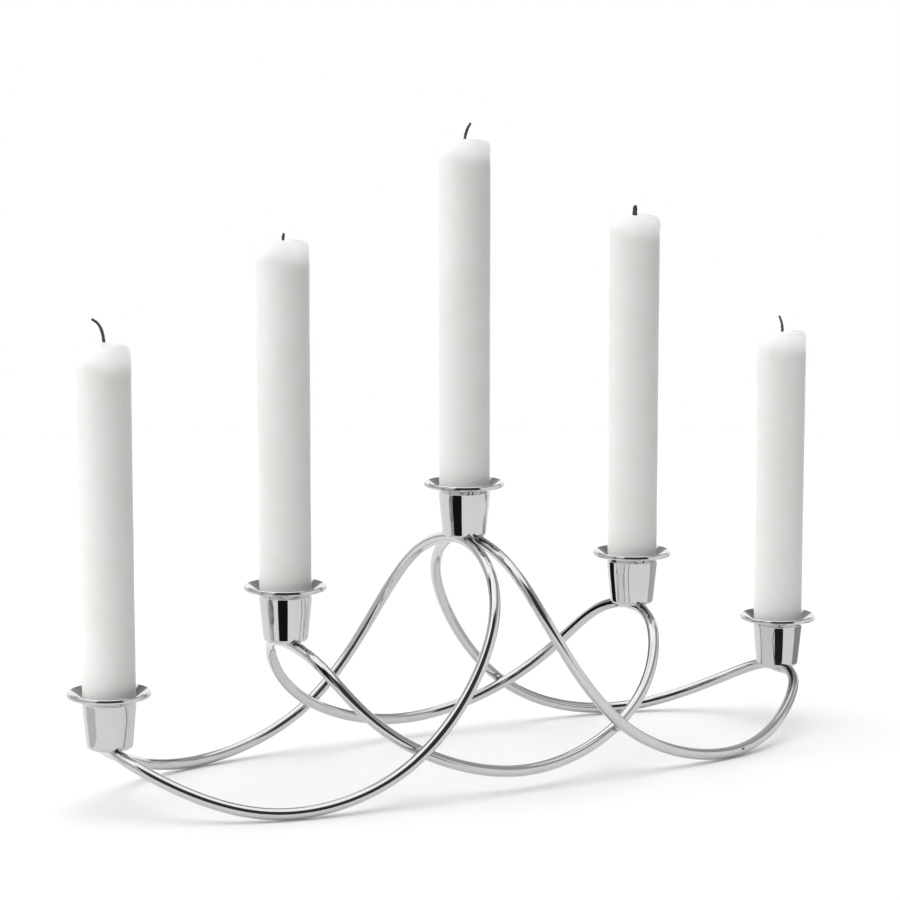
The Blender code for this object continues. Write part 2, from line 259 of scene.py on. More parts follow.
class StudioSettings(bpy.types.PropertyGroup):
    floor: bpy.props.FloatVectorProperty(
        name="Floor", description="Colour of the floor",
        default=(0.93, 0.93, 0.93), min=0.0, max=1.0, subtype="COLOR",
    )
    light: bpy.props.FloatProperty(
        name="Soft light", description="Strength of the soft light from all round",
        default=1.0, min=0.0, max=5.0, subtype="FACTOR",
    )
    lens: bpy.props.FloatProperty(
        name="Lens", description="Focal length of the camera in millimetres",
        default=116.1, min=20.0, max=300.0,
    )


# ---- handling objects and meshes ----


def start_clean():
    """Leave edit mode and deselect every object."""
    if bpy.context.object is not None and bpy.context.object.mode != "OBJECT":
        bpy.ops.object.mode_set(mode="OBJECT")
    bpy.ops.object.select_all(action="DESELECT")


def pick(piece):
    """Select one object alone and make it the active one."""
    start_clean()
    piece.select_set(True)
    bpy.context.view_layer.objects.active = piece


def apply_modifiers(piece):
    """Apply every modifier of a piece, in order."""
    pick(piece)
    for modifier in list(piece.modifiers):
        bpy.ops.object.modifier_apply(modifier=modifier.name)


def tidy_mesh(piece):
    """Merge doubles and point every face outwards."""
    pick(piece)
    bpy.ops.object.mode_set(mode="EDIT")
    bpy.ops.mesh.select_all(action="SELECT")
    bpy.ops.mesh.remove_doubles(threshold=MERGE_DISTANCE)
    bpy.ops.mesh.normals_make_consistent(inside=False)
    bpy.ops.object.mode_set(mode="OBJECT")


def settle(piece):
    """Put the object's place into its mesh, so that the object itself sits at the origin."""
    pick(piece)
    bpy.ops.object.transform_apply(location=True, rotation=True, scale=True)


def divide_curve(curve, cuts, count):
    """Divide each segment of a new curve and return its points."""
    bpy.ops.object.mode_set(mode="EDIT")
    bpy.ops.curve.select_all(action="SELECT")
    bpy.ops.curve.subdivide(number_cuts=cuts)
    bpy.ops.object.mode_set(mode="OBJECT")
    points = curve.data.splines[0].bezier_points
    require(len(points) == count, f"{curve.name} was not divided into {count} points")
    return points


def thicken_curve(curve, radius, steps, roundness):
    """Give a curve a round thickness and turn it into a clean mesh."""
    curve.data.dimensions = "3D"
    curve.data.resolution_u = steps
    curve.data.bevel_depth = radius
    curve.data.bevel_resolution = roundness
    pick(curve)
    bpy.ops.object.convert(target="MESH")
    piece = bpy.context.object
    tidy_mesh(piece)
    return piece


def dress(piece, material, slot, body, *nodes):
    """Give a finished piece its material, hide the CAD nodes it stands in for, and attach it to the
    body it rides on.
    """
    piece.data.materials.clear()
    piece.data.materials.append(material)
    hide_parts(*nodes)
    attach(piece, body)


def require(found, what):
    """Stop the script when a step has not given what the next one needs."""
    if not found:
        raise RuntimeError(what)


def box_centre(node):
    """The middle of a CAD node, seen from above."""
    low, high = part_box(node)
    return (low.x + high.x) / 2.0, (low.y + high.y) / 2.0


# ---- the line of a ring ----


def ring_stations():
    """The twelve stations of each ring in millimetres, by name."""
    half = list(SIDE_RING_HALF)
    left = np.array(half + [(x, -y, z) for x, y, z in half[-2:0:-1]])
    quarter = list(MIDDLE_RING_QUARTER)
    back = quarter + [(-x, y, z) for x, y, z in quarter[-2::-1]]
    middle = np.array(back + [(x, -y, z) for x, y, z in back[-2:0:-1]])
    left[:, 2] += RING_LIFT
    middle[:, 2] += RING_LIFT
    return {
        "ring_left": left,
        "ring_right": left * np.array([-1.0, -1.0, 1.0]),
        "ring_middle": middle,
    }


def ring_slopes(stations):
    """The direction and speed of the smoothest closed curve at each station."""
    count = len(stations)
    unit = np.eye(count)
    weights = 4.0 * unit + np.roll(unit, 1, axis=1) + np.roll(unit, -1, axis=1)
    chords = np.roll(stations, -1, axis=0) - np.roll(stations, 1, axis=0)
    return np.linalg.solve(weights, 3.0 * chords)


def ring_point(stations, slopes, at):
    """The rod's centre and direction at a fractional station number."""
    first = math.floor(at)
    u = at - first
    a, b = first % len(stations), (first + 1) % len(stations)
    p, q, d, e = stations[a], stations[b], slopes[a], slopes[b]
    place = (
        (2 * u**3 - 3 * u**2 + 1) * p + (u**3 - 2 * u**2 + u) * d
        + (3 * u**2 - 2 * u**3) * q + (u**3 - u**2) * e
    )
    heading = (
        (6 * u**2 - 6 * u) * p + (3 * u**2 - 4 * u + 1) * d
        + (6 * u - 6 * u**2) * q + (3 * u**2 - 2 * u) * e
    )
    return place, heading / np.linalg.norm(heading)


def bend_ring(name, stations, radius):
    """A closed round rod: a Bezier circle with its points moved to the stations."""
    start_clean()
    bpy.ops.curve.primitive_bezier_circle_add(radius=0.1)
    ring = bpy.context.object
    ring.name = name
    points = divide_curve(ring, 2, len(stations))
    slopes = ring_slopes(stations)
    for point, station, slope in zip(points, stations, slopes):
        point.handle_left_type = "FREE"
        point.handle_right_type = "FREE"
        point.co = station * MM
        point.handle_left = (station - slope / 3.0) * MM
        point.handle_right = (station + slope / 3.0) * MM
    ring = thicken_curve(ring, radius, RING_STEPS, (RING_SIDES - 4) // 2)
    bpy.ops.object.shade_smooth()
    return ring


def cut_groove(piece, stations, rod_radius):
    """Cut the groove that a rod fills out of a piece."""
    cutter = bend_ring("groove", stations, rod_radius + ROD_CLEARANCE)
    groove = piece.modifiers.new("groove", "BOOLEAN")
    groove.operation = "DIFFERENCE"
    groove.solver = "EXACT"
    groove.object = cutter
    apply_modifiers(piece)
    bpy.data.objects.remove(cutter, do_unlink=True)


# ---- materials ----


class NodeKit:
    """Adds nodes to one node tree."""

    def __init__(self, tree):
        self.tree = tree

    def node(self, kind, inputs=(), **settings):
        """A node with some of its settings and inputs; an input may be a value or a socket."""
        item = self.tree.nodes.new(kind)
        for key, value in settings.items():
            setattr(item, key, value)
        for key, value in dict(inputs).items():
            if isinstance(value, bpy.types.NodeSocket):
                self.tree.links.new(value, item.inputs[key])
            else:
                item.inputs[key].default_value = value
        return item

    def maths(self, operation, first, second=0.0):
        return self.node("ShaderNodeMath", {0: first, 1: second}, operation=operation).outputs[0]

    def spread(self, value, low, high, to_low, to_high, smooth=False):
        """The value carried from one range to another, held at the ends."""
        return self.node(
            "ShaderNodeMapRange",
            {
                "Value": value, "From Min": low, "From Max": high,
                "To Min": to_low, "To Max": to_high,
            },
            interpolation_type="SMOOTHSTEP" if smooth else "LINEAR",
        ).outputs["Result"]

    def step_up(self, value, start, end):
        """0 below the start, 1 above the end, and smooth between them."""
        return self.spread(value, start, end, 0.0, 1.0, True)

    def step_down(self, value, start, end):
        """1 below the start, 0 above the end, and smooth between them."""
        return self.spread(value, start, end, 1.0, 0.0, True)

    def mix(self, factor, first, second):
        """One number carried to another by a factor."""
        mixer = self.node("ShaderNodeMix", {"Factor": factor, "A": first, "B": second})
        return mixer.outputs["Result"]

    def place(self, scale=(1.0, 1.0, 1.0)):
        """The place on the object, in metres, squeezed along its axes."""
        coordinates = self.node("ShaderNodeTexCoord")
        return self.node(
            "ShaderNodeMapping", {"Vector": coordinates.outputs["Object"], "Scale": scale},
        ).outputs["Vector"]

    def noise(self, vector, scale, detail=4.0, roughness=0.5):
        return self.node(
            "ShaderNodeTexNoise",
            {"Vector": vector, "Scale": scale, "Detail": detail, "Roughness": roughness},
        ).outputs["Fac"]

    def blend(self, factor, first, second):
        """One colour carried to another by a factor."""
        mixer = self.node("ShaderNodeMix", data_type="RGBA")
        self.tree.links.new(factor, mixer.inputs["Factor"])
        for socket, value in ((mixer.inputs[6], first), (mixer.inputs[7], second)):
            if isinstance(value, bpy.types.NodeSocket):
                self.tree.links.new(value, socket)
            else:
                socket.default_value = (*value, 1.0)
        return mixer.outputs[2]


class Finish(NodeKit):
    """A node material under construction."""

    def __init__(self, name):
        self.material = bpy.data.materials.new(name)
        self.material.use_nodes = True
        super().__init__(self.material.node_tree)
        self.shader = self.tree.nodes["Principled BSDF"]

    def set(self, **values):
        """Set inputs of the main shader; an input may be a value or a socket."""
        for key, value in values.items():
            socket = self.shader.inputs[key.replace("_", " ")]
            if isinstance(value, bpy.types.NodeSocket):
                self.tree.links.new(value, socket)
            elif isinstance(value, (tuple, list)) and len(value) == 3 and socket.type == "RGBA":
                socket.default_value = (*value, 1.0)
            else:
                socket.default_value = value

    def relief(self, *layers):
        """Bumps laid over one another, each (height socket, depth in metres)."""
        normal = None
        for height, depth in layers:
            bump = self.node(
                "ShaderNodeBump", {"Height": height, "Distance": depth, "Strength": 1.0},
            )
            if normal is not None:
                self.tree.links.new(normal, bump.inputs["Normal"])
            normal = bump.outputs["Normal"]
        self.tree.links.new(normal, self.shader.inputs["Normal"])


def darker(colour, share):
    """A colour multiplied by one share, or by one for each channel."""
    shares = share if isinstance(share, tuple) else (share,) * 3
    return tuple(channel * part for channel, part in zip(colour, shares))


def polished_steel(name, colour, roughness, spun):
    """Mirror-polished steel with faint buffing lines, handling haze and a little unevenness."""
    finish = Finish(name)
    place = finish.place()
    haze = finish.noise(place, 90.0, 5.0, 0.55)
    smears = finish.noise(finish.place((1.0, 1.0, 0.35)), 260.0, 3.0)
    if spun:
        line = finish.node("ShaderNodeAttribute", attribute_name="along_profile").outputs["Fac"]
        apart = finish.node("ShaderNodeSeparateXYZ", {"Vector": place}).outputs
        lathe = finish.node("ShaderNodeCombineXYZ", {
            "X": finish.maths("MULTIPLY", apart["X"], 60.0),
            "Y": finish.maths("MULTIPLY", apart["Y"], 60.0),
            "Z": finish.maths("MULTIPLY", line, 5200.0),
        }).outputs[0]
        lines = finish.noise(lathe, 1.0, 3.0, 0.6)
    else:
        lines = finish.noise(finish.place((1.0, 1.0, 1.6)), 3600.0, 3.0, 0.6)
    rough = finish.spread(haze, 0.35, 0.7, roughness * 0.75, roughness * 1.55, True)
    rough = finish.maths("ADD", rough, finish.spread(smears, 0.45, 0.75, 0.0, 0.018, True))
    rough = finish.maths("ADD", rough, finish.spread(lines, 0.5, 0.85, 0.0, 0.02))
    tint = finish.blend(
        finish.spread(haze, 0.3, 0.75, 0.0, 1.0, True),
        colour, darker(colour, 0.965),
    )
    finish.set(Base_Color=tint, Metallic=1.0, Roughness=rough)
    finish.relief((haze, 0.0000035), (lines, 0.00000012))
    return finish.material


def braze_alloy(colour):
    """Dull brazing alloy with heat stain and a rippled surface."""
    finish = Finish("braze_alloy")
    place = finish.place()
    ripple = finish.noise(place, 1500.0, 4.0, 0.6)
    stain = finish.noise(place, 420.0, 3.0)
    tint = finish.blend(
        finish.spread(stain, 0.38, 0.66, 0.0, 1.0, True),
        colour, darker(colour, (0.62, 0.56, 0.50)),
    )
    finish.set(Base_Color=tint, Metallic=1.0, Roughness=finish.spread(ripple, 0.3, 0.7, 0.2, 0.42))
    finish.relief((ripple, 0.00012))
    return finish.material


def candle_wax(colour):
    """White wax: waxy sheen, light scattered inside, and a clearer melted top, whose cooler colour
    is also a touch darker as painted shade against the strong light on the top.
    """
    finish = Finish("candle_wax")
    place = finish.place()
    cloud = finish.noise(place, 75.0, 4.0, 0.5)
    skin = finish.noise(finish.place((1.0, 1.0, 0.3)), 620.0, 5.0, 0.6)
    pores = finish.noise(place, 2600.0, 2.0)
    melted = finish.node("ShaderNodeAttribute", attribute_name="melted").outputs["Fac"]
    body = finish.blend(
        finish.spread(cloud, 0.35, 0.7, 0.0, 1.0, True),
        colour, darker(colour, (0.975, 0.968, 0.955)),
    )
    satin = finish.spread(skin, 0.3, 0.7, 0.42, 0.56)
    # The melted top's colour is cooler like clear wax, and a little darker as painted shade that
    # holds back the strong light falling on the top.
    finish.set(
        Base_Color=finish.blend(melted, body, darker(colour, (0.965, 0.98, 0.995))),
        Roughness=finish.maths("SUBTRACT", satin, finish.maths("MULTIPLY", melted, 0.16)),
        Subsurface_Weight=finish.spread(melted, 0.0, 1.0, 0.12, 1.0),
        Subsurface_Radius=(1.0, 0.92, 0.85),
        Subsurface_Scale=0.06,
        IOR=1.44,
        Specular_IOR_Level=0.35,
    )
    finish.relief((cloud, 0.00012), (skin, 0.00002), (pores, 0.000004))
    return finish.material


def charred_wick(colour):
    """Burnt cotton: braided strands under soot, ash-grey on the high spots."""
    finish = Finish("charred_wick")
    along = finish.node("ShaderNodeUVMap", uv_map="UVMap").outputs["UV"]
    twisted = finish.node("ShaderNodeMapping", {
        "Vector": along, "Rotation": (0.0, 0.0, 0.6), "Scale": (14.0, 4.0, 1.0),
    }).outputs["Vector"]
    strands = finish.node(
        "ShaderNodeTexWave", {"Vector": twisted, "Scale": 1.0, "Distortion": 1.4, "Detail": 2.0},
    ).outputs["Fac"]
    soot = finish.noise(finish.place(), 1900.0, 4.0, 0.65)
    ash = finish.maths("MULTIPLY", finish.spread(soot, 0.52, 0.72, 0.0, 1.0, True), strands)
    tint = finish.blend(ash, colour, (0.20, 0.19, 0.18))
    finish.set(Base_Color=tint, Roughness=finish.spread(soot, 0.3, 0.7, 0.75, 0.95))
    finish.relief((strands, 0.00015), (soot, 0.0001))
    return finish.material


def studio_floor(colour):
    """Matt white paper, very slightly uneven."""
    finish = Finish("studio_floor")
    grain = finish.noise(finish.place(), 900.0, 3.0)
    tone = finish.blend(grain, colour, darker(colour, 0.997))
    finish.set(Base_Color=tone, Roughness=0.9, Specular_IOR_Level=0.0)
    return finish.material


# ---- rings ----


class BendRings(bpy.types.Operator):
    """Bend the three closed rings of polished rod"""
    bl_idname = "candelabra.bend_rings"
    bl_label = "Bend the rings"

    def execute(self, context):
        rod = context.scene.candelabra_rods
        steel = polished_steel("polished_rod", tuple(rod.colour), rod.polish, spun=False)
        for name, stations in ring_stations().items():
            ring = bend_ring("bent_" + name, stations, rod.radius)
            dress(ring, steel, "polished_rod", "stand", name)
        return {"FINISHED"}


# ---- cups ----


def arc(centre, radius, start, end, count):
    """Points of an arc in the plane of the profile, without the first one; degrees."""
    turns = [math.radians(start + (end - start) * (step + 1) / count) for step in range(count)]
    return [(centre[0] + radius * math.cos(a), centre[1] + radius * math.sin(a)) for a in turns]


def from_point(point, steps):
    """Points given by how far each lies from one point, across and up."""
    return [(point[0] + across, point[1] + up) for across, up in steps]


def cup_profile():
    """Radius and height from the edge of the flat base round the outside and into the socket."""
    corner = (CUP_FOOT - CUP_CORNER, CUP_CORNER)
    roll = [
        (RIM_CREST[0] + RIM_ROLL[0] * across, RIM_EDGE[1] + RIM_ROLL[1] * up)
        for across, up in arc((0.0, 0.0), 1.0, 0.0, 90.0, 8)
    ]
    return [
        *arc(corner, CUP_CORNER, -90.0, 0.0, 8),
        *from_point((CUP_FOOT, 0.0), CUP_WALL),
        *from_point(CUP_NECK, CUP_FOLD),
        *arc(RIM_EDGE[:2], RIM_EDGE[2], -90.0, 0.0, 7),
        *roll,
        *from_point(RIM_CREST, RIM_INNER),
        *from_point(SOCKET_TOP, SOCKET_LIP),
        *from_point(SOCKET_FLOOR, (SOCKET_EASE,)),
        SOCKET_FLOOR,
    ]


def draw_up(start_radius, base, profile, sides, place):
    """Extrude a disc through (radius, height) stations in millimetres, scaling at each one."""
    start_clean()
    bpy.ops.mesh.primitive_circle_add(
        vertices=sides, radius=start_radius * MM, fill_type="NGON",
        location=(place[0], place[1], base),
    )
    piece = bpy.context.object
    settle(piece)
    bpy.ops.object.mode_set(mode="EDIT")
    bpy.ops.mesh.select_all(action="SELECT")
    radius, height = start_radius, 0.0
    for next_radius, next_height in profile:
        rise = (next_height - height) * MM
        bpy.ops.mesh.extrude_region_move(TRANSFORM_OT_translate={"value": (0.0, 0.0, rise)})
        ratio = next_radius / radius
        middle = (place[0], place[1], base + next_height * MM)
        bpy.ops.transform.resize(value=(ratio, ratio, 1.0), center_override=middle)
        radius, height = next_radius, next_height
    bpy.ops.object.mode_set(mode="OBJECT")
    tidy_mesh(piece)
    return piece


def mark_profile(piece):
    """Store roughly how far along its profile each point of a turned piece lies, in metres."""
    line = piece.data.attributes.new("along_profile", "FLOAT", "POINT")
    line.data.foreach_set("value", [
        math.hypot(vertex.co.x, vertex.co.y) * 0.9 + vertex.co.z for vertex in piece.data.vertices
    ])


def cup_centre(number):
    """How far along the row a cup stands, in metres."""
    return box_centre(f"cup_{number}")[0]


def cup_base(number):
    """The height of a cup's base, in metres."""
    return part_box(f"cup_{number}")[1].z - RIM_CREST[1] * MM


class TurnCups(bpy.types.Operator):
    """Turn one candle cup, copy it to the five ends and let each onto its rod"""
    bl_idname = "candelabra.turn_cups"
    bl_label = "Turn the cups"

    def execute(self, context):
        rod = context.scene.candelabra_rods
        cup = context.scene.candelabra_cups
        steel = polished_steel("polished_cup", tuple(rod.colour), cup.polish, spun=True)
        first = draw_up(CUP_FOOT - CUP_CORNER, 0.0, cup_profile(), CUP_SIDES, (0.0, 0.0))
        mark_profile(first)
        rings = ring_stations()
        for number in CUP_NUMBERS:
            pick(first)
            bpy.ops.object.duplicate()
            piece = bpy.context.object
            piece.name = f"turned_cup_{number}"
            bpy.ops.transform.translate(value=(cup_centre(number), 0.0, cup_base(number)))
            settle(piece)
            for ring in CUP_RINGS[number]:
                cut_groove(piece, rings[ring], rod.radius)
            tidy_mesh(piece)
            bpy.ops.object.shade_smooth_by_angle(angle=math.radians(CUP_CREASE))
            dress(piece, steel, "polished_cup", "stand", f"cup_{number}")
        bpy.data.objects.remove(first, do_unlink=True)
        return {"FINISHED"}


# ---- joints ----


def inside_cup(point, centre, base):
    """Whether a point, in millimetres, lies within the outside of the cup near its base."""
    height = point[2] - base
    if height <= 0.0:
        return False
    radius = CUP_FOOT
    if height < CUP_CORNER:
        radius += math.sqrt(CUP_CORNER**2 - (CUP_CORNER - height) ** 2) - CUP_CORNER
    return math.hypot(point[0] - centre, point[1]) < radius


def seam_line(stations, at, centre, base, radius):
    """Where the surface of a rod leaves the cup that sits on it: a closed line of points."""
    slopes = ring_slopes(stations)

    def on_rod(shift, turn):
        place, heading = ring_point(stations, slopes, at + shift)
        side = np.cross(heading, UP)
        side /= np.linalg.norm(side)
        up = np.cross(side, heading)
        return place + radius * (math.cos(turn) * up + math.sin(turn) * side)

    line = []
    for step in range(BEAD_POINTS):
        direction = 2.0 * math.pi * step / BEAD_POINTS
        shift, turn = SEAT_REACH[0] * math.cos(direction), SEAT_REACH[1] * math.sin(direction)
        low, high = 0.0, 1.0
        for _ in range(SEAT_HALVINGS):
            middle = (low + high) / 2.0
            if inside_cup(on_rod(shift * middle, turn * middle), centre, base):
                low = middle
            else:
                high = middle
        line.append(on_rod(shift * low, turn * low))
    return line


def lay_bead(name, line, radius):
    """A closed bead of filler along a line, a little thicker at the two ends of the seat."""
    start_clean()
    bpy.ops.curve.primitive_bezier_circle_add(radius=0.01)
    bead = bpy.context.object
    bead.name = name
    points = divide_curve(bead, len(line) // 4 - 1, len(line))
    for index, (point, place) in enumerate(zip(points, line)):
        point.handle_left_type = "AUTO"
        point.handle_right_type = "AUTO"
        point.co = Vector(place) * MM
        share = abs(math.cos(2.0 * math.pi * index / len(line)))
        point.radius = 1.0 + BEAD_SWELL * share**6
    return thicken_curve(bead, radius, 4, 4)


def roughen(piece, name, size, strength, group=""):
    """Push a mesh gently in and out along its normals."""
    lumps = bpy.data.textures.new(name, "CLOUDS")
    lumps.noise_scale = size
    lumps.noise_depth = 2
    shove = piece.modifiers.new(name, "DISPLACE")
    shove.texture = lumps
    shove.texture_coords = "GLOBAL"
    shove.strength = strength
    shove.mid_level = 0.5
    shove.vertex_group = group
    apply_modifiers(piece)


class BrazeSeats(bpy.types.Operator):
    """Lay the bead of braze round each seat where a cup joins its rod"""
    bl_idname = "candelabra.braze_seats"
    bl_label = "Braze the seats"

    def execute(self, context):
        rod = context.scene.candelabra_rods
        cup = context.scene.candelabra_cups
        alloy = braze_alloy(tuple(cup.braze))
        rings = ring_stations()
        for number in CUP_NUMBERS:
            centre, base = cup_centre(number) / MM, cup_base(number) / MM
            beads = []
            for ring in CUP_RINGS[number]:
                line = seam_line(rings[ring], SEAT_STATIONS[number], centre, base, rod.radius / MM)
                beads.append(lay_bead(f"braze_bead_{number}", line, cup.bead))
            pick(beads[0])
            for other in beads[1:]:
                other.select_set(True)
            if len(beads) > 1:
                bpy.ops.object.join()
            bead = bpy.context.object
            roughen(bead, "braze_ripple", *BEAD_RIPPLE)
            bpy.ops.object.shade_smooth()
            dress(bead, alloy, "braze_alloy", "stand", f"braze_{number}")
        return {"FINISHED"}


class WeldCrossings(bpy.types.Operator):
    """Set a small weld where the middle ring touches each outer ring"""
    bl_idname = "candelabra.weld_crossings"
    bl_label = "Weld the crossings"

    def execute(self, context):
        rod = context.scene.candelabra_rods
        alloy = bpy.data.materials["braze_alloy"]
        rings = ring_stations()
        for name in WELDS:
            low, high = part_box(name)
            start_clean()
            bpy.ops.mesh.primitive_ico_sphere_add(
                subdivisions=4, radius=WELD_RADIUS, location=(low + high) / 2.0,
            )
            weld = bpy.context.object
            weld.name = name.replace("weld", "crossing_weld")
            settle(weld)
            ring = "ring_left" if name.endswith("left") else "ring_right"
            for other in (ring, "ring_middle"):
                cut_groove(weld, rings[other], rod.radius)
            tidy_mesh(weld)
            bpy.ops.object.shade_smooth_by_angle(angle=math.radians(WELD_CREASE))
            dress(weld, alloy, "braze_alloy", "stand", name)
        return {"FINISHED"}


# ---- candles ----


def candle_profile(number, radius, foot):
    """Stations of a candle above its foot: taper, body, burnt shoulder, melt pool and wick root."""
    top, _slope, shoulder, pool, dome = CANDLE_TOPS[number]
    height = top - foot / MM
    body = radius / MM
    burnt = height - BURNT_LENGTH
    ease, full = FOOT_SHOULDER
    stations = [*FOOT_TAPER, (body - SHOULDER_EASE, ease), (body, full)]
    spans = (
        (full, burnt, int(burnt / BODY_ROW)),
        (burnt, height - shoulder, BURNT_ROWS),
    )
    for start, end, rows in spans:
        stations += [(body, start + (end - start) * row / rows) for row in range(1, rows + 1)]
    lip = body - shoulder
    stations += arc((lip, height - shoulder), shoulder, 0.0, 90.0, 7)
    stations += [
        (lip - 0.5, height + 0.1 * dome - 0.12 * pool),
        (lip - 1.1, height + 0.3 * dome - 0.55 * pool),
        (lip - 2.0, height + 0.5 * dome - 0.85 * pool),
        (4.2, height + 0.85 * dome - pool),
        (2.2, height + dome - pool),
        (1.3, height + dome - pool + 0.15),
        (0.8, height + dome - pool + 0.5),
    ]
    return stations


def weigh(piece, name, weight_of):
    """A vertex group whose weights come from each vertex's place."""
    group = piece.vertex_groups.new(name=name)
    for vertex in piece.data.vertices:
        weight = weight_of(vertex.co)
        if weight > 0.001:
            group.add([vertex.index], min(1.0, weight), "REPLACE")


def swell(piece, name, weight_of, amount):
    """Push part of a surface out along its normals."""
    weigh(piece, name, weight_of)
    shove = piece.modifiers.new(name, "DISPLACE")
    shove.strength = amount
    shove.mid_level = 0.0
    shove.vertex_group = name
    apply_modifiers(piece)
    piece.vertex_groups.clear()


def slope_top(piece, centre, level, degrees):
    """Turn the rows above a level about a level axis, so that the top slopes to the right."""
    pick(piece)
    bpy.ops.object.mode_set(mode="EDIT")
    bpy.ops.mesh.select_all(action="DESELECT")
    bpy.ops.object.mode_set(mode="OBJECT")
    for vertex in piece.data.vertices:
        vertex.select = vertex.co.z > level
    bpy.ops.object.mode_set(mode="EDIT")
    turn = math.radians(degrees)
    pivot = (centre[0], centre[1], level + 0.001)
    bpy.ops.transform.rotate(
        value=turn * TO_RIGHT.y, orient_axis="X", orient_type="GLOBAL", center_override=pivot,
    )
    bpy.ops.transform.rotate(
        value=-turn * TO_RIGHT.x, orient_axis="Y", orient_type="GLOBAL", center_override=pivot,
    )
    bpy.ops.object.mode_set(mode="OBJECT")


def hump(distance, width):
    """A smooth bell: 1 in the middle, near 0 beyond the width."""
    return math.exp(-((distance / width) ** 2))


def way_round(degrees):
    """The level direction that lies this far round from the viewer towards the right."""
    turn = math.radians(degrees)
    return TO_VIEWER * math.cos(turn) + TO_RIGHT * math.sin(turn)


def run_wax(candle, number, centre, top, radius):
    """Raise the runs of wax on a candle's side and the lumps and dips round its burnt top."""
    for index, (turn, down, spread, length, height) in enumerate(WAX_RUNS[number]):
        way = way_round(turn)
        middle = Vector((*centre, top)) + way * radius - UP * (down * MM)

        def weight_of(co):
            across = (co - middle).cross(way).z
            outward = (co - middle).dot(way)
            near = hump(across, spread * MM) * hump(co.z - middle.z, length * MM)
            return near if outward > -RUN_DEPTH else 0.0

        swell(candle, f"wax_run_{number}_{index}", weight_of, height * MM)


class CastCandles(bpy.types.Operator):
    """Cast the five candles, each burnt down to its own top"""
    bl_idname = "candelabra.cast_candles"
    bl_label = "Cast the candles"

    def execute(self, context):
        settings = context.scene.candelabra_candles
        wax = candle_wax(tuple(settings.wax))
        for number in CUP_NUMBERS:
            centre = box_centre(f"candle_{number}")
            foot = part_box(f"candle_{number}")[0].z
            profile = candle_profile(number, settings.radius, foot)
            candle = draw_up(CANDLE_FOOT, foot, profile, CANDLE_SIDES, centre)
            candle.name = f"wax_candle_{number}"
            top, slope, shoulder, _pool, _dome = CANDLE_TOPS[number]
            top *= MM
            slope_top(candle, centre, top - shoulder * MM - TOP_TURN_START * MM, slope)
            run_wax(candle, number, centre, top, settings.radius)
            mark_melted(candle, top)
            for name, level, (size, strength, start, rise) in (
                ("melted", top, MELT_UNEVEN), ("cast", foot, CAST_UNEVEN),
            ):
                weigh(candle, name, lambda co: (co.z - level - start) / rise)
                roughen(candle, f"{name}_{number}", size, strength, name)
                candle.vertex_groups.clear()
            tidy_mesh(candle)
            bpy.ops.object.shade_smooth_by_angle(angle=math.radians(CANDLE_CREASE))
            dress(candle, wax, "candle_wax", f"candle_{number}", f"candle_{number}")
        return {"FINISHED"}


def mark_melted(piece, top):
    """Store how far the wax near the top has melted and gone clear; the wax material also uses it
    to lay a little painted shade on the top.
    """
    melted = piece.data.attributes.new("melted", "FLOAT", "POINT")
    values = []
    for vertex in piece.data.vertices:
        along = vertex.co.dot(TO_RIGHT)
        edge = top - MELT_DEPTH[0]
        for height, rate, phase in MELT_WAVES:
            edge -= height * math.sin(along * rate + phase)
        values.append(min(1.0, max(0.0, (vertex.co.z - edge) / MELT_DEPTH[1])))
    melted.data.foreach_set("value", values)


# ---- wicks ----


class SetWicks(bpy.types.Operator):
    """Set a charred wick into each candle"""
    bl_idname = "candelabra.set_wicks"
    bl_label = "Set the wicks"

    def execute(self, context):
        settings = context.scene.candelabra_candles
        soot = charred_wick(tuple(settings.wick))
        for number in CUP_NUMBERS:
            centre = Vector((*box_centre(f"candle_{number}"), CANDLE_TOPS[number][0] * MM))
            stations = WICKS[number]
            start_clean()
            bpy.ops.curve.primitive_bezier_curve_add(radius=0.005)
            wick = bpy.context.object
            wick.name = f"burnt_wick_{number}"
            points = divide_curve(wick, len(stations) - 2, len(stations))
            for point, (right, up, thick) in zip(points, stations):
                point.handle_left_type = "AUTO"
                point.handle_right_type = "AUTO"
                point.co = centre + TO_RIGHT * right * MM + UP * (up * MM)
                point.radius = thick
            wick.data.use_fill_caps = True
            wick = thicken_curve(wick, MM, 10, 6)
            roughen(wick, f"fibres_{number}", *WICK_FIBRES)
            bpy.ops.object.shade_smooth()
            dress(wick, soot, "charred_wick", f"candle_{number}", f"wick_{number}")
        return {"FINISHED"}


# ---- studio ----


def mirrored_tone(kit, turn, level):
    """What polished steel sees: two walls, the dark gap between them, and what stands behind."""
    left_wall = kit.mix(
        kit.step_up(level, 37.0, 44.0), kit.spread(level, 0.0, 30.0, *LEFT_WALL[:2]), LEFT_WALL[2],
    )
    right_wall = kit.mix(kit.step_up(level, 25.0, 30.0), *RIGHT_WALL[:2])
    right_wall = kit.mix(kit.step_up(level, 57.0, 63.0), right_wall, RIGHT_WALL[2])
    gap = kit.mix(kit.step_up(level, 52.0, 59.0), *DARK_GAP)
    tone = kit.mix(kit.step_up(turn, 43.0, 49.0), gap, right_wall)
    tone = kit.mix(kit.step_down(turn, -32.0, -27.0), tone, left_wall)
    aside = kit.maths("ABSOLUTE", turn)
    behind = kit.step_up(aside, 122.0, 130.0)
    band = kit.maths("MULTIPLY", behind, within(kit, level, 21.0, 44.0, 5.0))
    tone = kit.mix(band, tone, kit.spread(aside, 132.0, 172.0, *BACK_BAND))
    panel = kit.maths("MULTIPLY", behind, within(kit, level, 5.0, 21.0, 4.0))
    return kit.mix(panel, tone, BACK_PANEL)


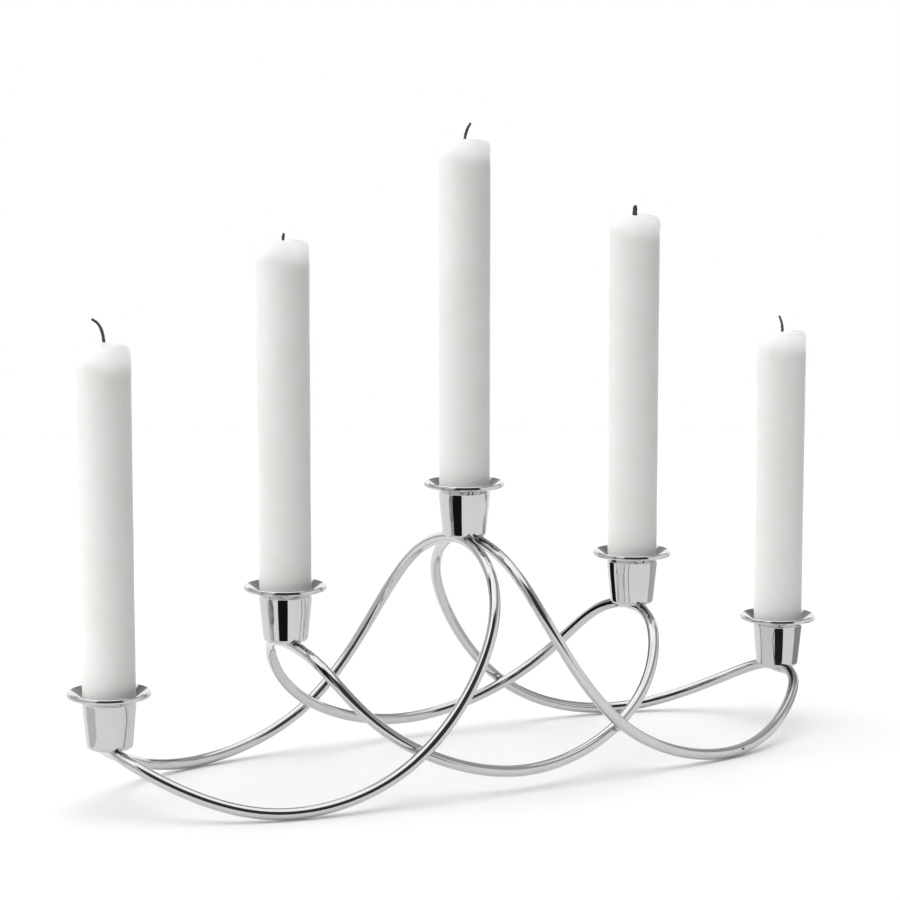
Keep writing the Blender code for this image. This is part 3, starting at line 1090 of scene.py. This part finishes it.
def soft_tone(kit, right, turn, level):
    """What lights everything else: soft light from above, the left and a little from behind."""
    side = kit.maths(
        "MULTIPLY", kit.spread(right, -0.95, 0.55, 1.0, 0.0),
        kit.spread(level, 28.0, 38.0, *SIDE_LIGHT, True),
    )
    rim = kit.maths("MULTIPLY", within(kit, turn, 118.0, 172.0, 20.0), RIM_LIGHT)
    tone = kit.mix(kit.step_up(level, 52.0, 62.0), kit.maths("ADD", side, rim), TOP_LIGHT)
    return kit.mix(kit.spread(level, -1.0, 0.5, 1.0, 0.0), tone, BELOW_TABLE)


def within(kit, value, start, end, soft):
    """1 between the start and the end, 0 outside them, with soft edges."""
    rise = kit.step_up(value, start - soft / 2.0, start + soft / 2.0)
    fall = kit.step_down(value, end - soft / 2.0, end + soft / 2.0)
    return kit.maths("MULTIPLY", rise, fall)


def studio_world(strength):
    """A white studio: one pattern of light for polished steel and a soft one for all else."""
    world = bpy.data.worlds.new("studio")
    bpy.context.scene.world = world
    world.use_nodes = True
    kit = NodeKit(world.node_tree)
    kit.tree.nodes.clear()
    heading = kit.node("ShaderNodeTexCoord").outputs["Generated"]
    apart = kit.node("ShaderNodeSeparateXYZ", {"Vector": heading}).outputs
    level = kit.maths("MULTIPLY", kit.maths("ARCSINE", apart["Z"]), 180.0 / math.pi)

    def toward(direction):
        return kit.maths(
            "ADD", kit.maths("MULTIPLY", apart["X"], direction.x),
            kit.maths("MULTIPLY", apart["Y"], direction.y),
        )

    right = toward(TO_RIGHT)
    turn = kit.maths("MULTIPLY", kit.maths("ARCTAN2", right, toward(TO_VIEWER)), 180.0 / math.pi)
    ray = kit.node("ShaderNodeLightPath").outputs
    lit = kit.maths("MULTIPLY", soft_tone(kit, right, turn, level), strength)
    seen = kit.mix(ray["Is Glossy Ray"], lit, mirrored_tone(kit, turn, level))
    seen = kit.mix(ray["Is Camera Ray"], seen, 1.0)
    background = kit.node("ShaderNodeBackground", {"Color": WHITE, "Strength": seen})
    output = kit.node("ShaderNodeOutputWorld")
    kit.tree.links.new(background.outputs[0], output.inputs["Surface"])


def mirror_card(name, place, facing, width, height, tone):
    """A card that only polished steel sees: its middle, the way it faces, its size and tone."""
    start_clean()
    bpy.ops.mesh.primitive_plane_add(size=1.0, location=place)
    card = bpy.context.object
    card.name = name
    card.scale = (width, height, 1.0)
    card.rotation_mode = "QUATERNION"
    card.rotation_quaternion = facing.to_track_quat("Z", "Y")
    settle(card)
    finish = Finish(name)
    finish.tree.nodes.remove(finish.shader)
    glow = finish.node("ShaderNodeEmission", {"Color": WHITE, "Strength": tone})
    clear = finish.node("ShaderNodeBsdfTransparent")
    back = finish.node("ShaderNodeNewGeometry").outputs["Backfacing"]
    one_sided = finish.node(
        "ShaderNodeMixShader", {0: back, 1: glow.outputs[0], 2: clear.outputs[0]},
    )
    output = finish.tree.nodes["Material Output"]
    finish.tree.links.new(one_sided.outputs[0], output.inputs["Surface"])
    card.data.materials.append(finish.material)
    for ray in ("camera", "diffuse", "shadow", "transmission", "volume_scatter"):
        setattr(card, f"visible_{ray}", False)


def set_cards():
    """Stand the cards round the cups and lay the dark end of the table."""
    for index, (number, turn, distance, width, bottom, top, tone) in enumerate(CUP_CARDS):
        way = way_round(turn)
        middle = Vector((cup_centre(number), 0.0, (bottom + top) / 2.0 * MM))
        mirror_card(
            f"card_{index + 1}", middle + way * distance * MM, -way,
            width * MM, (top - bottom) * MM, tone,
        )
    mirror_card("dark_table_end", TABLE_END_PLACE, UP, *TABLE_END_SIZE, TABLE_END_TONE)


def set_camera(lens):
    """Place the camera of the front view."""
    bpy.ops.object.camera_add(location=CAMERA_PLACE)
    camera = bpy.context.object
    camera.name = "front_camera"
    ahead = Vector((
        math.sin(CAMERA_TURN) * math.cos(CAMERA_PITCH),
        math.cos(CAMERA_TURN) * math.cos(CAMERA_PITCH),
        math.sin(CAMERA_PITCH),
    ))
    camera.rotation_mode = "QUATERNION"
    camera.rotation_quaternion = ahead.to_track_quat("-Z", "Y")
    camera.data.lens = lens
    camera.data.sensor_width = CAMERA_SENSOR
    camera.data.dof.use_dof = False
    bpy.context.scene.camera = camera


class SetStudio(bpy.types.Operator):
    """Lay the floor, set the soft light and place the camera"""
    bl_idname = "candelabra.set_studio"
    bl_label = "Set the studio"

    def execute(self, context):
        settings = context.scene.candelabra_studio
        start_clean()
        bpy.ops.mesh.primitive_circle_add(
            vertices=FLOOR_SIDES, radius=FLOOR_RADIUS, fill_type="NGON",
            location=(0.0, 0.0, FLOOR_LEVEL),
        )
        floor = bpy.context.object
        floor.name = "floor"
        settle(floor)
        floor.data.materials.append(studio_floor(tuple(settings.floor)))
        studio_world(settings.light)
        set_cards()
        set_camera(settings.lens)
        context.scene.view_settings.view_transform = "Standard"
        return {"FINISHED"}


# ---- the add-on ----


class CandelabraPanel(bpy.types.Panel):
    """Sizes, colours and building steps of the candelabra"""
    bl_idname = "VIEW3D_PT_candelabra"
    bl_label = "Tabletop candelabra"
    bl_space_type = "VIEW_3D"
    bl_region_type = "UI"
    bl_category = "Candelabra"

    def draw(self, context):
        scene = context.scene
        for settings in (
            scene.candelabra_rods, scene.candelabra_cups,
            scene.candelabra_candles, scene.candelabra_studio,
        ):
            box = self.layout.box()
            for name in settings.bl_rna.properties.keys():
                if name not in ("rna_type", "name"):
                    box.prop(settings, name)
        column = self.layout.column()
        for step in BUILDING_STEPS:
            column.operator(step.bl_idname)


BUILDING_STEPS = (BendRings, TurnCups, BrazeSeats, WeldCrossings, CastCandles, SetWicks, SetStudio)
SETTINGS = {
    "candelabra_rods": RodSettings,
    "candelabra_cups": CupSettings,
    "candelabra_candles": CandleSettings,
    "candelabra_studio": StudioSettings,
}


def register():
    for group in SETTINGS.values():
        bpy.utils.register_class(group)
    for name, group in SETTINGS.items():
        setattr(bpy.types.Scene, name, bpy.props.PointerProperty(type=group))
    for step in BUILDING_STEPS:
        bpy.utils.register_class(step)
    bpy.utils.register_class(CandelabraPanel)


def unregister():
    bpy.utils.unregister_class(CandelabraPanel)
    for step in reversed(BUILDING_STEPS):
        bpy.utils.unregister_class(step)
    for name in SETTINGS:
        delattr(bpy.types.Scene, name)
    for group in reversed(SETTINGS.values()):
        bpy.utils.unregister_class(group)


def main():
    register()
    bpy.ops.candelabra.bend_rings()
    bpy.ops.candelabra.turn_cups()
    bpy.ops.candelabra.braze_seats()
    bpy.ops.candelabra.weld_crossings()
    bpy.ops.candelabra.cast_candles()
    bpy.ops.candelabra.set_wicks()
    bpy.ops.candelabra.set_studio()
    start_clean()


if __name__ == "__main__":
    main()
